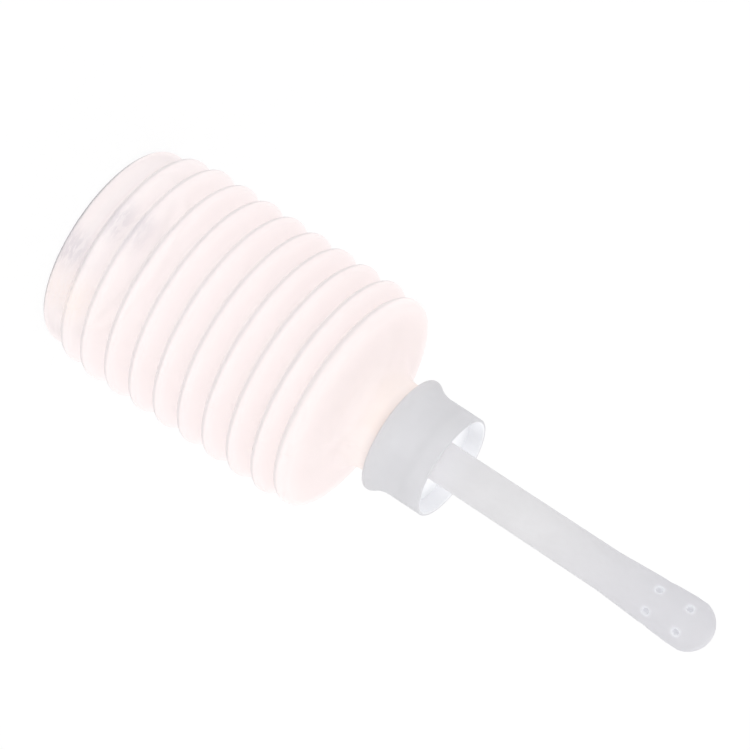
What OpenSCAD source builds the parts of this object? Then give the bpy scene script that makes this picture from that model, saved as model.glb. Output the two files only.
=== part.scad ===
// Accordion squeeze bottle with a screw collar and a long spray nozzle.
// It stands on its base, with Z up along the axis of the bottle and the nozzle.
// The bottle is one thin blown wall: base, folds and shoulder meet in the valleys.
// Clear gaps between pieces are named clearances, and every seat is worked out from the same values.

/* [Bottle folds] */
// Diameter over the main folds
fold_d = 70; // [64:0.5:76]
// Diameter at the bottom of the valleys between them
valley_d = 51.4; // [46:0.2:56]
// Height of one main fold, from valley to valley
fold_h = 8.8; // [7.5:0.1:10.5]
// Rounding radius of each crest
crest_r = 1.8; // [1.3:0.1:2.4]
// Diameter over the small fold next to the base
low_fold_d = 67.8; // [62:0.2:72]
// Height of that small fold
low_fold_h = 7.2; // [6:0.1:9]
// Thickness of the blown wall
wall = 0.9; // [0.6:0.1:1.2]
// Thickness left at the inner edge of a valley, where two walls meet
valley_wall = 1.5; // [1.2:0.1:2]

/* [Bottle base] */
// Diameter over the rounded bead of the base
base_d = 63.4; // [60:0.2:66]
// Height of the base, all of it rounded
base_h = 7.2; // [6.4:0.1:8]
// Diameter of the hollow pushed up under the base
dome_d = 42; // [30:1:46]
// Height of that hollow
dome_h = 2.2; // [1:0.1:3]

/* [Shoulder and neck] */
// Diameter over the rounded shoulder
shoulder_d = 68; // [66:0.5:72]
// Rounding radius of the shoulder's edge
shoulder_r = 2.8; // [2.2:0.1:3.4]
// Height from the last valley to the middle of that rounding
shoulder_rise = 3.5; // [3:0.1:4.5]
// Slope of the shoulder, from level
shoulder_slope = 14; // [10:1:20]
// Diameter of the plain neck that shows under the collar
neck_d = 28.6; // [27.6:0.2:30]
// Radius of the hollow curve from the shoulder into the neck
neck_fillet = 8; // [5:0.5:11]
// Plain neck that shows between that curve and the collar
neck_show = 3.9; // [2.5:0.1:6]
// Diameter inside the mouth
mouth_d = 22.4; // [20:0.2:23]
// Height of the mouth above the collar's lower edge
finish_h = 9.2; // [8.6:0.1:10]

/* [Screw thread] */
// Diameter over the neck's thread
thread_d = 28; // [27.6:0.1:28.3]
// Height of the thread's ridge
thread_ridge = 0.9; // [0.7:0.05:1]
// Rise in one turn
thread_pitch = 3; // [2.8:0.1:3.4]
// Width of the ridge at its foot
thread_foot = 1.3; // [1.1:0.05:1.5]
// Turns of thread on the neck
neck_turns = 1.3; // [1:0.05:1.4]
// Turns of thread in the collar
collar_turns = 1.2; // [1:0.05:1.3]
// Clear gap round the thread
thread_gap = 0.35; // [0.25:0.05:0.45]

/* [Collar] */
// Height of the collar
collar_h = 18.4; // [17.6:0.1:20]
// Diameter over its straight part
collar_d = 31.8; // [31.2:0.2:34]
// Diameter over the flared lip that faces the bottle
lip_d = 36.1; // [35:0.1:38]
// Diameter inside the flared lip
lip_bore_d = 33.4; // [32:0.1:34]
// Rounding radius of the lip's lower edge
lip_r = 0.7; // [0.4:0.1:0.8]
// Rounding radius above the lip, where the flare begins
flare_r = 1.5; // [1:0.1:3]
// Radius of the hollow curve from there to the straight part
waist_r = 9; // [6:0.5:12]
// Height of the lip's full width
lip_h = 0.9; // [0.8:0.1:1.6]
// Depth of the open cup round the nozzle
cup_depth = 5; // [3:0.1:5.6]
// Wall of that cup
cup_wall = 1.1; // [0.9:0.1:1.8]
// Thickness of the web that clamps the nozzle
web_t = 1.5; // [1.2:0.1:2]

/* [Nozzle and washer] */
// Length of the nozzle from the collar's open end to its tip
nozzle_l = 89; // [80:1:100]
// Diameter of the nozzle next to the collar
nozzle_root_d = 12.1; // [11:0.1:13]
// Diameter where the flare starts
nozzle_mid_d = 12.4; // [11.6:0.1:13.4]
// Length of the flare, up to the middle of the round tip
flare_l = 27; // [20:1:34]
// Diameter of the round tip
tip_d = 15.6; // [14.6:0.1:17]
// Wall of the nozzle's tube
nozzle_wall = 1.6; // [1.2:0.1:1.9]
// Diameter of each spray hole
spray_d = 2; // [1.4:0.1:2.6]
// Spray holes in each ring
spray_count = 6; // [4:1:8]
// Distance between the two rings of holes
spray_step = 10.4; // [7:0.1:14]
// Thickness of the nozzle's clamped flange
flange_t = 1.5; // [1.2:0.1:2]
// Thickness of the sealing washer
washer_t = 1.2; // [0.8:0.1:1.5]
// Clear gap between pieces that turn or lift against each other
seat_gap = 0.05; // [0.02:0.01:0.1]
// Clear gap between the nozzle and the collar's web
web_gap = 0.35; // [0.2:0.05:0.6]

/* [Hidden] */
$fn = 72;
// Sink of each ridge's foot into its wall, so that the two fuse
sink = 0.3;

// Main folds above the small one, and the nodes in order from the base up
main_folds = 8;
FOLDS = [for (i = [1 : main_folds + 1]) str("fold_", i)];

// Heights along the axis, from the foot up
low_z = base_h;
folds_z = low_z + low_fold_h;
stack_top = folds_z + main_folds * fold_h;
crest_z = stack_top + shoulder_rise;

// The first valley is where the base's bead ends
bead_r = base_h / 2;
low_valley_r = base_d / 2 - bead_r;
valley_r = valley_d / 2;

// The shoulder's slope is the line that touches its rounding from above and the neck's curve from below
slope_n = [sin(shoulder_slope), cos(shoulder_slope)];
crest_c = [shoulder_d / 2 - shoulder_r, crest_z];
neck_c_r = neck_d / 2 + neck_fillet;
neck_c = [neck_c_r, crest_z + (shoulder_r + neck_fillet + (crest_c[0] - neck_c_r) * slope_n[0]) / slope_n[1]];

// The collar's lower edge, and what it clamps, from the mouth up to the web
collar_z = neck_c[1] + neck_show;
mouth_z = collar_z + finish_h;
washer_z = mouth_z;
flange_z = washer_z + washer_t;
web_z = flange_z + flange_t + seat_gap;
cup_z = web_z + web_t;
collar_top = max(collar_z + collar_h, cup_z + cup_depth);
tip_z = collar_top + nozzle_l;
tip_c = tip_z - tip_d / 2;
flare_z = tip_c - flare_l;

// Thread radii: neck root and crest, then the collar's bore and the crest of its own ridge
neck_root_r = thread_d / 2 - thread_ridge;
collar_bore_r = thread_d / 2 + thread_gap;
collar_crest_r = neck_root_r + thread_gap;
clamp_r = collar_bore_r - thread_gap - 0.3;
neck_thread_z = mouth_z - 1 - neck_turns * thread_pitch - thread_foot / 2;

// Unit direction at an angle, and the angle of a vector
function dir(a) = [cos(a), sin(a)];
function angle(v) = atan2(v[1], v[0]);

// Points along an arc of centre c and radius r, from one angle to another
function arc(c, r, from, to, n = 10) = [for (i = [0 : n]) c + r * dir(from + (to - from) * i / n)];

// Where the line from point p touches a circle of centre c and radius r, on its lower (-1) or upper (1) side
function touch(p, c, r, side) =
    let (d = c - p, l = norm(d), a = angle(d) + side * asin(r / l))
    p + sqrt(l * l - r * r) * dir(a);

// Radius at which a wall of thickness t, parallel to the line from p to its touching point, leaves p's level
function inner_r(p, c, r, side, t) =
    let (a = angle(touch(p, c, r, side) - p))
    p[0] - t / abs(sin(a));

// Half section of one fold between two valleys, filled to the axis, drawn in by t
module fold_section(z0, h, r_low, r_high, r_crest, t) {
    c = [r_crest - crest_r, z0 + h / 2];
    low = [r_low, z0];
    high = [r_high, z0 + h];
    low_touch = c + (touch(low, c, crest_r, -1) - c) * (crest_r - t) / crest_r;
    high_touch = c + (touch(high, c, crest_r, 1) - c) * (crest_r - t) / crest_r;
    low_r = t == 0 ? r_low : inner_r(low, c, crest_r, -1, t);
    high_r = t == 0 ? r_high : inner_r(high, c, crest_r, 1, t);
    polygon([[0, z0], [low_r, z0], low_touch, c, high_touch, [high_r, z0 + h], [0, z0 + h]]);
    translate(c) circle(crest_r - t);
}

// One fold of the bottle, hollow, with its inner edges cut back to the valley wall
module fold(z0, h, r_low, r_high, r_crest) {
    color("mistyrose")
    rotate_extrude()
    difference() {
        fold_section(z0, h, r_low, r_high, r_crest, 0);
        fold_section(z0, h, r_low, r_high, r_crest, wall);
        translate([-1, z0 - 1]) square([r_low - valley_wall + 1, h / 2 + 1]);
        translate([-1, z0 + h / 2]) square([r_high - valley_wall + 1, h / 2 + 1]);
        translate([-fold_d, z0 - 1]) square([fold_d, h + 2]);
    }
}

// Base of the bottle: a rounded bead, a floor pushed up in the middle, and the lowest valley
module bottle_base() {
    dome_r = (dome_d * dome_d / 4 + dome_h * dome_h) / (2 * dome_h);
    bead_c = [low_valley_r, bead_r];
    color("mistyrose")
    difference() {
        rotate_extrude() {
            square([low_valley_r, base_h]);
            intersection() {
                translate(bead_c) circle(bead_r);
                square([base_d, base_h]);
            }
        }
        difference() {
            rotate_extrude() {
                translate([0, wall]) square([low_valley_r, base_h - 2 * wall]);
                intersection() {
                    translate(bead_c) circle(bead_r - wall);
                    square([base_d, base_h]);
                }
                square([low_valley_r - valley_wall, base_h + 1]);
            }
            cylinder(r = low_valley_r, h = wall);
            translate([0, 0, dome_h - dome_r]) sphere(dome_r + wall, $fn = 180);
        }
        translate([0, 0, dome_h - dome_r]) sphere(dome_r, $fn = 180);
    }
}

// A ridge that winds up round the axis. side is 1 for a ridge that stands out and -1 for one that stands in.
module thread_ridge_solid(root_r, height, turns, z0, side, start = 0) {
    steps = 48;
    n = round(turns * steps);
    crest_w = thread_foot * 0.4;
    // The flanks run on into the wall, so that the foot is its full width at the wall's surface
    buried_w = thread_foot + (thread_foot - crest_w) * sink / height;
    section = [
        [root_r - side * sink, -buried_w / 2],
        [root_r + side * height, -crest_w / 2],
        [root_r + side * height, crest_w / 2],
        [root_r - side * sink, buried_w / 2]
    ];
    m = len(section);
    // The ridge runs out at both ends over an eighth of a turn
    function fade(i) = min(1, min(i, n - i) / (steps / 8));
    function spot(i, p) =
        let (
            a = start + 360 * i / steps,
            out = p[0] - root_r,
            r = side * out > 0 ? root_r + out * max(0.2, fade(i)) : p[0]
        )
        [r * cos(a), r * sin(a), z0 + thread_pitch * i / steps + p[1]];
    points = [for (i = [0 : n]) for (p = section) spot(i, p)];
    sides = [
        for (i = [0 : n - 1]) for (k = [0 : m - 1]) for (half = [0, 1])
            let (a = i * m + k, b = i * m + (k + 1) % m, c = a + m, d = b + m)
            half == 0 ? [a, b, c] : [b, d, c]
    ];
    end = n * m;
    caps = [for (k = [1 : m - 2]) each [[0, k + 1, k], [end, end + k, end + k + 1]]];
    faces = concat(sides, caps);
    polyhedron(points = points, faces = side > 0 ? faces : [for (f = faces) [f[2], f[1], f[0]]]);
}

// Half section of the shoulder and neck, filled to the axis, drawn in by t
module shoulder_section(t) {
    low = [valley_r, stack_top];
    low_r = t == 0 ? valley_r : inner_r(low, crest_c, shoulder_r, -1, t);
    low_a = angle(touch(low, crest_c, shoulder_r, -1) - crest_c);
    up_a = 90 - shoulder_slope;
    polygon(concat(
        [[0, stack_top], [low_r, stack_top]],
        arc(crest_c, shoulder_r - t, low_a, up_a),
        arc(neck_c, neck_fillet + t, 180 + up_a, 180),
        [[neck_d / 2 - t, collar_z - 1], [0, collar_z - 1]]
    ));
}

// Shoulder, neck and threaded mouth of the bottle
module bottle_shoulder() {
    step_z = collar_z - 1;
    root_z = step_z + neck_d / 2 - neck_root_r;
    color("mistyrose") {
        rotate_extrude()
        difference() {
            union() {
                shoulder_section(0);
                polygon([
                    [0, step_z],
                    [neck_d / 2, step_z],
                    [neck_root_r, root_z],
                    [neck_root_r, mouth_z],
                    [0, mouth_z]
                ]);
            }
            shoulder_section(wall);
            translate([-1, stack_top - 1]) square([valley_r - valley_wall + 1, shoulder_rise]);
            polygon([
                [0, step_z - 2],
                [neck_d / 2 - wall, step_z - 2],
                [neck_d / 2 - wall, step_z],
                [mouth_d / 2, root_z],
                [0, root_z]
            ]);
            translate([-1, step_z]) square([mouth_d / 2 + 1, mouth_z]);
        }
        thread_ridge_solid(neck_root_r, thread_ridge, neck_turns, neck_thread_z, 1);
    }
}

// Soft ring between the mouth and the nozzle's flange
module sealing_washer() {
    color("gainsboro")
    translate([0, 0, washer_z])
    difference() {
        cylinder(r = clamp_r, h = washer_t - seat_gap);
        translate([0, 0, -1]) cylinder(d = mouth_d, h = washer_t + 2);
    }
}

// Half section of the nozzle's tube, filled to the axis, drawn in by t, from the flange to the tip
module nozzle_section(t) {
    root_r = nozzle_root_d / 2 - t;
    flare = [nozzle_mid_d / 2 - t, flare_z];
    tip = [0, tip_c];
    tip_r = tip_d / 2 - t;
    polygon(concat(
        [[0, flange_z], [root_r, flange_z], [root_r, collar_top], flare],
        arc(tip, tip_r, angle(touch(flare, tip, tip_r, -1) - tip), 90, 14)
    ));
}

// Nozzle: a clamped flange, a tube that flares to a round tip, and two rings of spray holes
module nozzle() {
    color("whitesmoke")
    difference() {
        union() {
            rotate_extrude() nozzle_section(0);
            translate([0, 0, flange_z]) cylinder(r = clamp_r, h = flange_t);
        }
        rotate_extrude() nozzle_section(nozzle_wall);
        translate([0, 0, flange_z - 1]) cylinder(r = nozzle_root_d / 2 - nozzle_wall, h = 2);
        for (ring = [0, 1], i = [0 : spray_count - 1])
            translate([0, 0, tip_c - ring * spray_step])
            rotate([0, 90, 360 * (i + 0.5) / spray_count])
            cylinder(d = spray_d, h = tip_d);
    }
}

// Screw collar: flared lip, threaded bore, web that clamps the nozzle, and an open cup round it
module screw_collar() {
    r = collar_d / 2;
    lip = lip_d / 2;
    rim_r = cup_wall / 2;
    // The flare is two arcs that touch: one rounds in from the lip, and a hollow one ends on the straight part
    flare_a = acos(1 - (lip - r) / (flare_r + waist_r));
    flare = [lip - flare_r, collar_z + lip_h];
    waist = [r + waist_r, flare[1] + (flare_r + waist_r) * sin(flare_a)];
    taper_z = collar_z + 0.6;
    color("gainsboro") {
        rotate_extrude()
        polygon(concat(
            arc([lip - lip_r, collar_z + lip_r], lip_r, -90, 0, 6),
            arc(flare, flare_r, 0, flare_a, 6),
            arc(waist, waist_r, 180 + flare_a, 180),
            arc([r - rim_r, collar_top - rim_r], rim_r, 0, 180, 8),
            [
                [r - cup_wall, cup_z],
                [nozzle_root_d / 2 + web_gap, cup_z],
                [nozzle_root_d / 2 + web_gap, web_z],
                [collar_bore_r, web_z],
                [collar_bore_r, taper_z + lip_bore_d / 2 - collar_bore_r],
                [lip_bore_d / 2, taper_z],
                [lip_bore_d / 2, collar_z]
            ]
        ));
        // Half a pitch above the neck's ridge, so that each lies midway in the other's groove
        thread_z = neck_thread_z + thread_pitch / 2;
        thread_ridge_solid(collar_bore_r, collar_bore_r - collar_crest_r, collar_turns, thread_z, -1);
    }
}

bottle_base();
fold(low_z, low_fold_h, low_valley_r, valley_r, low_fold_d / 2);
for (i = [1 : main_folds])
    fold(folds_z + (i - 1) * fold_h, fold_h, valley_r, valley_r, fold_d / 2);
bottle_shoulder();
sealing_washer();
nozzle();
screw_collar();
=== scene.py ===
"""Accordion squeeze bottle with a screw collar and a spray nozzle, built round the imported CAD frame.

Each operator builds one piece of the bottle, or the stage, and main() calls them in order.
"""

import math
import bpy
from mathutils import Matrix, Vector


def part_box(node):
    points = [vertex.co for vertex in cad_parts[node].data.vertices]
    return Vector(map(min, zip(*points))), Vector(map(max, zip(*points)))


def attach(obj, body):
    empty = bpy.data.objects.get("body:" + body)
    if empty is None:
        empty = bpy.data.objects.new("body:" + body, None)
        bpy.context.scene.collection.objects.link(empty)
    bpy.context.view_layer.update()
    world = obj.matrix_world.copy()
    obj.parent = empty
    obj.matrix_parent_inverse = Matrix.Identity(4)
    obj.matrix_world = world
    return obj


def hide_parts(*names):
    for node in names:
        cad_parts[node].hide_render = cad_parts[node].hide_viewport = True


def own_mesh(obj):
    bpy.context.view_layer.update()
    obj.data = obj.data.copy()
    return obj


bl_info = {
    "name": "Accordion bottle",
    "version": (1, 0, 0),
    "blender": (4, 5, 0),
    "location": "View3D > Sidebar > Bottle",
    "description": "Builds a squeeze bottle with blown folds, a screw collar and a spray nozzle",
    "category": "Add Mesh",
}

import bmesh
import bpy
import numpy as np
from bpy.props import FloatProperty, FloatVectorProperty, IntProperty, PointerProperty
from mathutils import Matrix, Vector

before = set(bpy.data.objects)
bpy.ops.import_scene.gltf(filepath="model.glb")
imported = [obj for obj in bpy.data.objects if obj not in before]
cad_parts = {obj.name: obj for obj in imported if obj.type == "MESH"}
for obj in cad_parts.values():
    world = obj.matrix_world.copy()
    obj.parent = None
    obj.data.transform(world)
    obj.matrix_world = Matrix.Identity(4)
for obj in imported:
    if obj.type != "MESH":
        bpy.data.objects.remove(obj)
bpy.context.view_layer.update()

MM = 0.001
TAU = 2 * math.pi

# Heights and radii that the frame gives, in metres
BASE_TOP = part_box("bottle_base")[1].z
FOLDS = [n for n in sorted(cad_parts) if n.startswith("fold_")]
MAIN_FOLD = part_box("fold_2")
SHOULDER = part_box("bottle_shoulder")
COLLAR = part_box("screw_collar")
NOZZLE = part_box("nozzle")

# How close points count as one and how close to the axis they lie on it; where extra columns stand by a
# parting line, in its widths, and how near to one of them an even column is left out
SAME_PLACE = 0.0001 * MM
ON_AXIS = 0.001 * MM
SEAM_COLUMNS = (-1.2, -0.8, -0.5, -0.25, 0, 0.25, 0.5, 0.8, 1.2)
SEAM_CLEAR = 0.2

# The nozzle: columns of faces across one spray hole's cell, the flare below the tip and the clamped flange
CELL_SIDE = 8
FLARE_LENGTH = 27 * MM
FLANGE_HEIGHT = 1.5 * MM

# The painted shade lines along the crests, the shoulder and the base: bearings on a crest's rounding, in
# degrees, and how strong the line is at each
LINES = {
    "base": ([-88, -80, -47, -28], [0.0, 1.0, 1.0, 0.0]),
    "fold": ([-88, -76, -10, 6], [0.0, 0.46, 0.46, 0.0]),
    "shoulder": ([-88, -76, -20, 0], [0.25, 0.46, 0.46, 0.0]),
}

# Where handling has rubbed the wall: a spot on it and how far the patch reaches, in metres
SCUFFS = (
    ((0.0326, -0.0075, 0.0150), 0.0105),
    ((0.0312, 0.0072, 0.0038), 0.0095),
)
STAIN = ((0.0265, 0.0200, 0.0080), 0.0130)


# The sizes and colours that a user would change


def length(name, description, default):
    """A length setting, in metres."""
    return FloatProperty(
        name=name, description=description, default=default, min=0.0, unit="LENGTH", precision=5
    )


def angle(name, description, degrees):
    """An angle setting, given here in degrees."""
    return FloatProperty(
        name=name, description=description, default=math.radians(degrees), subtype="ANGLE"
    )


def colour(name, description, default):
    """A colour setting, in linear light."""
    return FloatVectorProperty(
        name=name, description=description, default=default, size=3, min=0.0, max=1.0, subtype="COLOR"
    )


def share(name, description, default):
    """A setting between nothing and all."""
    return FloatProperty(
        name=name, description=description, default=default, min=0.0, max=1.0, subtype="FACTOR"
    )


class BottleWallSettings(bpy.types.PropertyGroup):
    """The blown wall: its sizes, its mould marks and its plastic."""

    wall: length("Wall", "Thickness of the blown wall", 0.9 * MM)
    valley_wall: length("Valley wall", "Thickness where two folds meet", 1.5 * MM)
    valley_radius: length("Valley", "Radius at the bottom of a valley", 25.7 * MM)
    crest_round: length("Crest rounding", "Rounding radius of each crest", 1.8 * MM)
    valley_round: length("Valley rounding", "Rounding radius in each valley", 0.5 * MM)
    shoulder_rise: length("Shoulder rise", "From the last valley up to the rounding's centre", 3.5 * MM)
    shoulder_round: length("Shoulder rounding", "Rounding radius of the shoulder", 2.8 * MM)
    shoulder_slope: angle("Shoulder slope", "Slope of the shoulder, from level", 14)
    neck: length("Neck", "Radius of the plain neck", 14.3 * MM)
    neck_round: length("Neck curve", "Radius of the hollow curve into the neck", 8.0 * MM)
    neck_show: length("Neck shown", "Plain neck between that curve and the collar", 3.9 * MM)
    seam_height: length("Parting line", "Height of the mould's parting line", 0.08 * MM)
    seam_width: length("Parting width", "Width of the mould's parting line", 0.7 * MM)
    seam_angle: angle("Parting angle", "Where the parting line runs", 41)
    columns: IntProperty(name="Columns", description="Faces round the wall", default=180, min=24, max=720)
    plastic: colour("Plastic", "Colour of the wall", (0.999, 0.970, 0.969))
    patches: colour("Patches", "Paler colour that the wall drifts to", (0.999, 0.975, 0.975))
    # Painted light: a paler tone in the valleys, against the shade that falls there
    valley_painted_light: colour("Valleys", "Colour deep between two folds", (1.0, 0.986, 0.985))
    warm: colour("Neck", "Warmer tint next to the neck", (1.0, 0.945, 0.915))
    # Painted shade: the dark line where each crest's rounding turns away
    crest_shade: colour("Crest line", "Tone of the line along each crest", (0.50, 0.53, 0.545))
    through: colour("Through", "Colour of the light that passes straight through", (1.0, 0.997, 0.997))
    scuff: colour("Scuffs", "Tone of the streaks rubbed by handling", (0.66, 0.645, 0.70))
    rubbed: colour("Rubbed", "Paler tone round those streaks", (0.90, 0.90, 0.915))
    stain: colour("Stain", "Warm tint low on the base", (1.0, 0.95, 0.91))
    milk: share("Milk", "How much of the light in the wall comes out on its far side", 0.85)
    clarity: share("Clarity", "How much light passes straight through the wall", 0.32)
    edge: share("Edge", "How soon the wall turns milky towards its edge", 0.1)
    thick: share("Thick neck", "How much clearness and milk the thick neck loses", 0.6)


class ClosureSettings(bpy.types.PropertyGroup):
    """Collar, nozzle and washer."""

    collar: colour("Collar", "Colour of the collar", (0.742, 0.740, 0.757))
    nozzle: colour("Nozzle", "Colour of the nozzle", (0.832, 0.824, 0.825))
    # Painted light: the nozzle is painted paler inside the cup, against the shade there
    root: colour("Root", "Paler colour of the nozzle inside the cup", (0.925, 0.92, 0.925))
    # Painted light: the inside of the cup, the bore and the spray holes are painted paler, as if lit
    inside: colour("Inside", "Paler colour inside the cup and the spray holes", (0.930, 0.937, 0.955))
    rubber: colour("Washer", "Colour of the washer", (0.62, 0.61, 0.58))
    # Painted shade: the nozzle is painted darker towards its tip
    tip: colour("Tip", "Colour that the nozzle drifts to at its tip", (0.790, 0.783, 0.797))
    thin: share("Collar light", "How much of the light comes through the collar", 0.35)
    nozzle_thin: share("Nozzle light", "How much of the light comes through the nozzle", 0.6)
    cup: length("Cup", "Radius inside the collar's cup", 14.8 * MM)
    tube_wall: length("Tube wall", "Wall of the nozzle's tube", 1.6 * MM)
    hole: length("Spray hole", "Radius of each spray hole", 1.0 * MM)
    hole_lip: length("Hole lip", "Rounding at the edge of each spray hole", 0.3 * MM)
    hole_count: IntProperty(name="Holes", description="Spray holes in each ring", default=6, min=2, max=12)
    ring_step: length("Ring step", "Distance between the two rings of holes", 10.4 * MM)


class StageSettings(bpy.types.PropertyGroup):
    """Floor, light and camera."""

    floor: colour("Floor", "Colour of the floor", (0.94, 0.94, 0.94))
    daylight: share("Daylight", "Strength of the even light from all round", 1.0)
    tilt: angle("Tilt", "Camera above level", 18.5)
    roll: angle("Roll", "Turn of the picture about its middle", 33.244)
    distance: length("Distance", "Camera to the bottle's axis", 1386 * MM)
    focus: FloatProperty(
        name="Lens", description="Focal length on a 36 mm sensor", default=236.1, unit="CAMERA"
    )


# Outlines, as points of radius and height


def arc(centre, radius, start, end, steps):
    """Points along an arc, with its angles in degrees."""
    angles = np.radians(np.linspace(start, end, steps + 1))
    return np.column_stack([centre[0] + radius * np.cos(angles), centre[1] + radius * np.sin(angles)])


def touch(point, centre, radius, side):
    """Where the line from a point touches a circle, on its lower (-1) or upper (1) side."""
    way = np.subtract(centre, point)
    reach = np.hypot(*way)
    turn = math.atan2(way[1], way[0]) + side * math.asin(radius / reach)
    along = math.sqrt(reach * reach - radius * radius)
    return np.array([point[0] + along * math.cos(turn), point[1] + along * math.sin(turn)])


def bearing(point, centre):
    """Angle of a point round a centre, in degrees."""
    return math.degrees(math.atan2(point[1] - centre[1], point[0] - centre[0]))


def rounded(corners, radii, steps):
    """A chain of points with its inner corners rounded, each by its own radius where there is room."""
    nearly_straight, room = 0.02, 0.48
    corners = [np.array(c, float) for c in corners]
    out = [corners[0]]
    for before, corner, after, radius in zip(corners, corners[1:], corners[2:], radii):
        a, b = before - corner, after - corner
        la, lb = np.hypot(*a), np.hypot(*b)
        a, b = a / la, b / lb
        half = math.acos(max(-1.0, min(1.0, float(a @ b)))) / 2
        if radius <= 0 or half > math.pi / 2 - nearly_straight:
            out.append(corner)
            continue
        run = min(radius / math.tan(half), room * la, room * lb)
        radius = run * math.tan(half)
        middle = corner + (a + b) / np.hypot(*(a + b)) * radius / math.sin(half)
        start = bearing(corner + a * run, middle)
        turn = (bearing(corner + b * run, middle) - start + 180) % 360 - 180
        out.extend(arc(middle, radius, start, start + turn, steps))
    out.append(corners[-1])
    return np.array(out)


def spread(points, gap):
    """The same chain with long steps cut, so that marks on it have points to follow."""
    out = [points[0]]
    for a, b in zip(points, points[1:]):
        n = max(1, int(math.ceil(np.hypot(*(b - a)) / gap)))
        out.extend(a + (b - a) * (i + 1) / n for i in range(n))
    return np.array(out)


# Meshes


def columns_round(wall):
    """Angles round the axis, even but for extra ones at the two parting lines."""
    even = np.arange(wall.columns) * TAU / wall.columns
    fine = wall.seam_width / MAIN_FOLD[1].x
    extra = [wall.seam_angle + turn + fine * f for turn in (0, math.pi) for f in SEAM_COLUMNS]

    def clear(a):
        return all(abs((a - e + math.pi) % TAU - math.pi) > fine * SEAM_CLEAR for e in extra)

    keep = [a for a in even if clear(a)]
    return np.array(sorted([a % TAU for a in keep + extra]))


def ring_faces(low, high):
    """Faces between two rings of points, with triangles where a ring is one point."""
    faces = []
    for j in range(len(low)):
        k = (j + 1) % len(low)
        quad = [low[j], low[k], high[k], high[j]]
        corners = [int(v) for n, v in enumerate(quad) if v != quad[n - 1]]
        if len(corners) > 2:
            faces.append(corners)
    return faces


def turned(name, outline, angles, outward, lift, tags, closed):
    """A mesh turned from an outline, with lift added to the radius where outward is 1."""
    outline = np.asarray(outline, float)
    width = len(angles)
    verts, rows, at = [], [], 0
    stored = {key: [] for key in tags}
    for i, (radius, height) in enumerate(outline):
        if radius < ON_AXIS:
            rows.append(np.full(width, at))
            verts.append(np.array([[0.0, 0.0, height]]))
            size = 1
        else:
            grown = radius + lift(radius, angles) * outward[i]
            rows.append(at + np.arange(width))
            level = np.full(width, height)
            verts.append(np.column_stack([grown * np.cos(angles), grown * np.sin(angles), level]))
            size = width
        for key in stored:
            stored[key].append(np.full(size, tags[key][i]))
        at += size
    faces = []
    for low, high in zip(rows, rows[1:] + rows[:1] if closed else rows[1:]):
        faces += ring_faces(low, high)
    mesh = bpy.data.meshes.new(name)
    mesh.from_pydata(np.concatenate(verts).tolist(), [], faces)
    for key, values in stored.items():
        mask = mesh.attributes.new(key, "FLOAT", "POINT")
        mask.data.foreach_set("value", np.concatenate(values).astype(np.float32))
    return placed(name, mesh)


def add_object(name, data):
    """An object of a mesh, a lamp or a camera, linked to the scene."""
    made = bpy.data.objects.new(name, data)
    bpy.context.scene.collection.objects.link(made)
    return made


def placed(name, mesh):
    """A smooth object of a mesh."""
    mesh.validate()
    mesh.update()
    for polygon in mesh.polygons:
        polygon.use_smooth = True
    return add_object(name, mesh)


def remember_place(piece):
    """Keeps where each point is at rest, so that the grain follows those places."""
    mesh = piece.data
    spots = np.empty(len(mesh.vertices) * 3, np.float32)
    mesh.vertices.foreach_get("co", spots)
    place = mesh.attributes.new("rest_place", "FLOAT_VECTOR", "POINT")
    place.data.foreach_set("vector", spots)


def helix(name, radius, height, foot, crest, pitch, turns, bottom, sink):
    """A thread's ridge, run out at both ends, with its foot sunk into the wall."""
    steps, run_out, least = 64, 1 / 8, 0.12
    count = int(turns * steps)
    verts, faces = [], []
    for i in range(count + 1):
        turn = TAU * i / steps
        top = height * max(least, min(1.0, min(i, count - i) / (steps * run_out)))
        middle = bottom + pitch * i / steps
        for out, half in ((-sink, foot / 2), (top, crest / 2), (top, -crest / 2), (-sink, -foot / 2)):
            r = radius + out
            verts.append((r * math.cos(turn), r * math.sin(turn), middle + half))
    for i in range(count):
        faces += ring_faces(range(4 * i, 4 * i + 4), range(4 * i + 4, 4 * i + 8))
    faces.append([3, 2, 1, 0])
    faces.append([4 * count + k for k in range(4)])
    mesh = bpy.data.meshes.new(name)
    mesh.from_pydata(verts, [], faces)
    return placed(name, mesh)


def join(parts):
    """Several objects as one, under the first one's name."""
    bpy.ops.object.select_all(action="DESELECT")
    for part in parts:
        part.select_set(True)
    bpy.context.view_layer.objects.active = parts[0]
    bpy.ops.object.join()
    return parts[0]


def face_out(piece):
    """Joins points that meet and turns every face outwards."""
    work = bmesh.new()
    work.from_mesh(piece.data)
    bmesh.ops.remove_doubles(work, verts=work.verts, dist=SAME_PLACE)
    bmesh.ops.recalc_face_normals(work, faces=work.faces)
    work.to_mesh(piece.data)
    work.free()
    for polygon in piece.data.polygons:
        polygon.use_smooth = True


# Shader node groups, each built once and placed in every material that uses it


def new_group(name, inputs, outputs):
    """An empty node group with its sockets."""
    group = bpy.data.node_groups.new(name, "ShaderNodeTree")
    for label, kind, default in inputs:
        socket = group.interface.new_socket(name=label, in_out="INPUT", socket_type=kind)
        if default is not None:
            socket.default_value = default
    for label, kind in outputs:
        group.interface.new_socket(name=label, in_out="OUTPUT", socket_type=kind)
    return group, group.nodes.new("NodeGroupInput"), group.nodes.new("NodeGroupOutput")


def feed(tree, made, inputs):
    """Gives a node's inputs their values or links."""
    for key, value in inputs.items():
        if isinstance(value, bpy.types.NodeSocket):
            tree.links.new(value, made.inputs[key])
        else:
            made.inputs[key].default_value = value


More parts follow.
